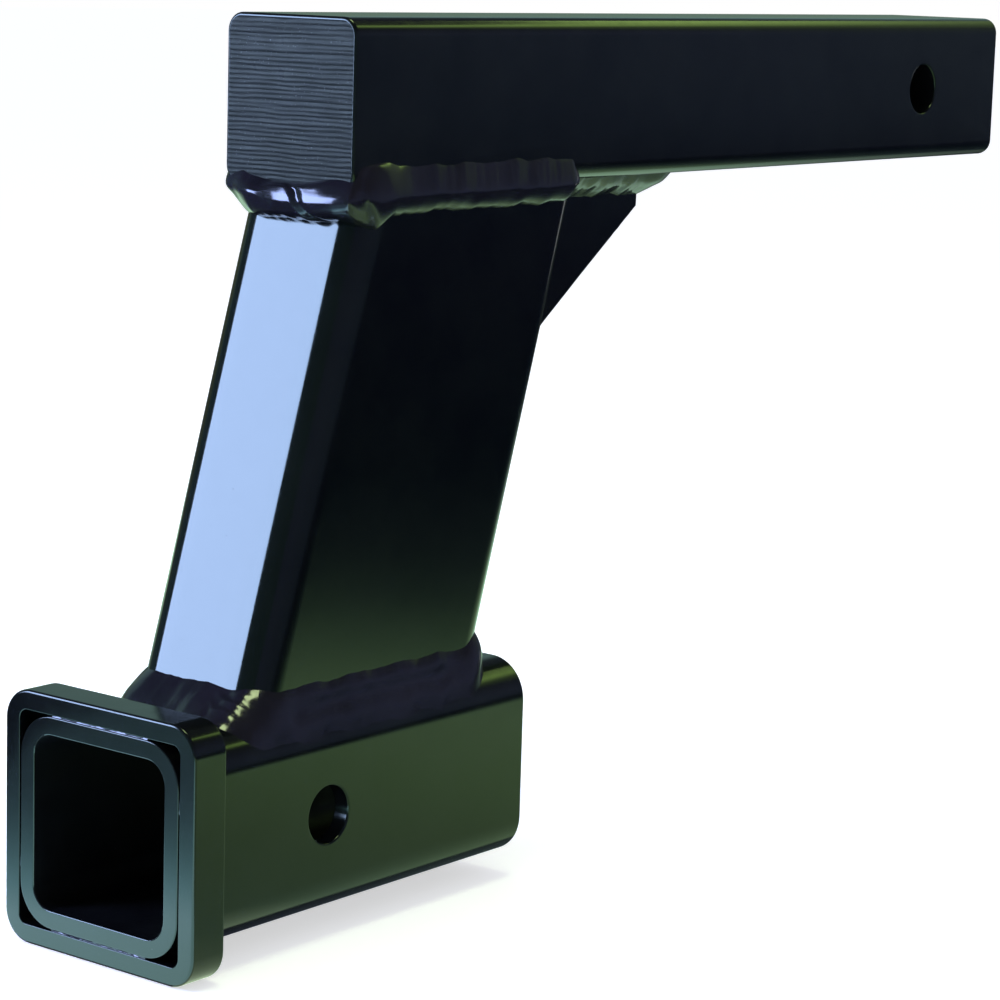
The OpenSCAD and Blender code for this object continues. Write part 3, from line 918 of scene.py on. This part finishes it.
def plane_object(name, corners, material):
    mesh = bpy.data.meshes.new(name)
    mesh.from_pydata(corners, [], [tuple(range(len(corners)))])
    mesh.materials.append(material)
    plane = bpy.data.objects.new(name, mesh)
    bpy.context.scene.collection.objects.link(plane)
    return plane


def level_square(half, z):
    return [(-half, -half, z), (half, -half, z), (half, half, z), (-half, half, z)]


def build_floor():
    material = bpy.data.materials.new("pale_floor")
    material.use_nodes = True
    tree = material.node_tree
    tree.nodes.clear()
    paper = tree.nodes.new("ShaderNodeBsdfDiffuse")
    paper.inputs["Color"].default_value = (0.81, 0.84, 0.94, 1)
    glow = tree.nodes.new("ShaderNodeEmission")
    glow.inputs["Color"].default_value = (1, 1, 1, 1)
    scale = tree.nodes.new("ShaderNodeMath")
    scale.operation = "MULTIPLY"
    scale.inputs[1].default_value = FLOOR_GLOW
    tree.links.new(seen_rays(tree), scale.inputs[0])
    tree.links.new(scale.outputs[0], glow.inputs["Strength"])
    add = tree.nodes.new("ShaderNodeAddShader")
    output = tree.nodes.new("ShaderNodeOutputMaterial")
    tree.links.new(paper.outputs[0], add.inputs[0])
    tree.links.new(glow.outputs[0], add.inputs[1])
    tree.links.new(add.outputs[0], output.inputs["Surface"])
    plane_object("floor", level_square(FLOOR_HALF, FLOOR_Z), material)


def build_world():
    world = bpy.data.worlds.new("studio")
    bpy.context.scene.world = world
    world.use_nodes = True
    tree = world.node_tree
    tree.nodes.clear()
    strength = tree.nodes.new("ShaderNodeMapRange")
    strength.inputs["To Min"].default_value = 0.5
    strength.inputs["To Max"].default_value = 1.0
    tree.links.new(seen_rays(tree), strength.inputs["Value"])
    sky = tree.nodes.new("ShaderNodeBackground")
    sky.inputs["Color"].default_value = (1, 1, 1, 1)
    output = tree.nodes.new("ShaderNodeOutputWorld")
    tree.links.new(strength.outputs["Result"], sky.inputs["Strength"])
    tree.links.new(sky.outputs[0], output.inputs["Surface"])


def graded(name, turn, *stops):
    """Glow that changes along the direction turn; each stop is a distance from the origin and a colour."""
    material = bpy.data.materials.new(name)
    n = Nodes(material)
    along = n.add("ShaderNodeVectorMath", operation="DOT_PRODUCT")
    along.inputs[1].default_value = turn
    n.link(n.place, along.inputs[0])
    share = n.add("ShaderNodeMapRange")
    share.inputs["From Min"].default_value = stops[0][0]
    share.inputs["From Max"].default_value = stops[-1][0]
    n.link(along.outputs["Value"], share.inputs["Value"])
    length = stops[-1][0] - stops[0][0]
    tones = n.ramp(share.outputs["Result"], *(((d - stops[0][0]) / length, colour) for d, colour in stops))
    shade = n.add("ShaderNodeEmission")
    n.link(tones, shade.inputs["Color"])
    output = n.add("ShaderNodeOutputMaterial")
    n.link(shade.outputs[0], output.inputs["Surface"])
    return material


def card(name, corners, material):
    """Studio card that only reflections show."""
    sheet = plane_object(name, corners, material)
    for ray in ("camera", "diffuse", "transmission", "volume_scatter", "shadow"):
        setattr(sheet, f"visible_{ray}", False)


def wall_cards(name, corners, material):
    for i, (a, b) in enumerate(zip(corners, corners[1:])):
        card(f"{name}_{i}", [(*a, FLOOR_Z), (*b, FLOOR_Z), (*b, WALL_TOP), (*a, WALL_TOP)], material)


def build_cards():
    """Dim studio round the object, pale only on the floor close by, as the gloss of the coat shows it."""
    right, up = (0.787, -0.617, 0), (0, 0, 1)
    left = (-0.787, 0.617, 0)
    low = FLOOR_Z + CARD_LIFT
    front, front_right, far_right, far_left = (-2.2, -1.2), (0.2, -2.6), (2.6, -0.9), (-2.0, 0.9)
    under_mouth, near_mouth, far_mouth = (-0.393, -0.03), (-0.393, -0.1), (-0.393, 0.12)
    card("right_floor_card", [
        (*p, low) for p in (under_mouth, near_mouth, front, front_right, far_right, (0.9, -0.03))
    ], graded(
        "right_floor", right, (-0.30, (1.1, 1.4, 0.95)), (-0.23, (0.42, 0.66, 0.42)),
        (-0.13, (0.47, 0.72, 0.38)), (-0.05, (0.58, 0.92, 0.45)), (0.06, (0.72, 1.1, 0.6)),
        (0.15, (0.38, 0.62, 0.37)), (0.255, (0.12, 0.20, 0.16)), (0.36, (0.05, 0.08, 0.09)),
        (0.6, (0.01, 0.02, 0.04)), (2.2, (0.03, 0.03, 0.08)),
    ))
    card("left_floor_card", [(*p, low) for p in (far_mouth, near_mouth, front, far_left)], graded(
        "left_floor", left, (0.30, (2.2, 3.5, 4.0)), (0.355, (2.5, 3.9, 4.8)), (0.385, (1.5, 2.8, 3.5)),
        (0.42, (0.82, 1.6, 2.0)), (0.46, (0.46, 0.86, 1.12)), (0.50, (0.26, 0.46, 0.62)),
        (0.6, (0.32, 0.58, 0.70)), (1.2, (0.12, 0.20, 0.22)),
    ))
    card("far_floor_card", [
        (*p, low) for p in (under_mouth, (2.6, -0.03), (2.6, 2.6), (-2.0, 2.6), far_left, far_mouth)
    ], graded(
        "far_floor", (1, 0, 0), (-0.35, (0.04, 0.05, 0.07)), (-0.18, (0.08, 0.12, 0.11)),
        (0.08, (1.0, 1.6, 1.1)), (0.3, (0.35, 0.50, 0.40)), (0.55, (0.04, 0.05, 0.05)),
        (1.2, (0.03, 0.04, 0.04)),
    ))
    wall_cards("right_wall", [front, front_right, (2.0, -1.325)], graded(
        "right_wall", up, (-0.24, (0.02, 0.03, 0.07)), (-0.10, (0.11, 0.14, 0.25)), (0.3, (0.15, 0.17, 0.32)),
        (1.5, (0.05, 0.05, 0.08)),
    ))
    wall_cards("back_wall", [(2.6, 0.6), (2.6, 1.6), (1.6, 2.6), (-0.4, 2.0)], graded(
        "back_wall", up, (-0.24, (0.10, 0.12, 0.10)), (0.07, (0.13, 0.16, 0.07)), (0.28, (0.21, 0.35, 0.32)),
        (1.0, (0.22, 0.36, 0.35)), (1.6, (0.06, 0.08, 0.10)),
    ))
    wall_cards("side_wall", [(2.0, -1.325), far_right, (2.6, 0.6)], graded(
        "side_wall", up, (-0.24, (0.03, 0.04, 0.07)), (-0.05, (0.11, 0.14, 0.22)), (0.9, (0.14, 0.18, 0.16)),
        (1.5, (0.32, 0.46, 0.2)), (2.0, (1.6, 2.35, 0.65)),
    ))
    wall_cards("left_wall", [front, far_left, (-0.9, 1.9), (-0.4, 2.0)], graded(
        "left_wall", up, (-0.24, (0.10, 0.18, 0.18)), (1.5, (0.06, 0.09, 0.09)),
    ))
    card("ceiling_card", level_square(CEILING_HALF, CEILING_Z), graded(
        "ceiling", right, (-3.0, (0.04, 0.04, 0.07)), (3.0, (0.05, 0.05, 0.08)),
    ))


def lamp(name, place, aim, width, height, power, colour):
    data = bpy.data.lights.new(name, "AREA")
    data.shape = "RECTANGLE"
    data.size, data.size_y = width, height
    data.energy = power
    data.color = colour
    obj = bpy.data.objects.new(name, data)
    obj.location = place
    obj.rotation_euler = (Vector(aim) - Vector(place)).to_track_quat("-Z", "Y").to_euler()
    obj.visible_camera = False
    bpy.context.scene.collection.objects.link(obj)


def build_lights():
    lamp("softbox", (-1.09, 0.737, 0.204), (-0.33, 0, -0.10), 0.42, 0.62, 20, (0.434, 0.534, 1.0))
    lamp("overhead", (-0.20, -0.10, 1.15), (-0.2, 0, -0.1), 0.40, 0.40, 6, (0.85, 1.0, 0.5))


# Camera, in pixels and millimetres

FRAME_PX = 1000
FOCAL_PX = 3170.538
EYE = Vector((-1011.85, -627.93, 45.90))
EYE_RIGHT = Vector((0.62069076, -0.78349848, 0.02954854))
EYE_UP = Vector((0.11616309, 0.12916506, 0.98479568))


def build_camera():
    data = bpy.data.cameras.new("camera")
    data.sensor_width = 36.0
    data.lens = FOCAL_PX / FRAME_PX * data.sensor_width
    camera = bpy.data.objects.new("camera", data)
    turn = Matrix((EYE_RIGHT, EYE_UP, EYE_RIGHT.cross(EYE_UP))).transposed()
    camera.matrix_world = Matrix.Translation(EYE * MM) @ turn.to_4x4()
    bpy.context.scene.collection.objects.link(camera)
    bpy.context.scene.camera = camera


bpy.context.scene.view_settings.view_transform = "Standard"
build_camera()
build_floor()
build_world()
build_cards()
build_lights()
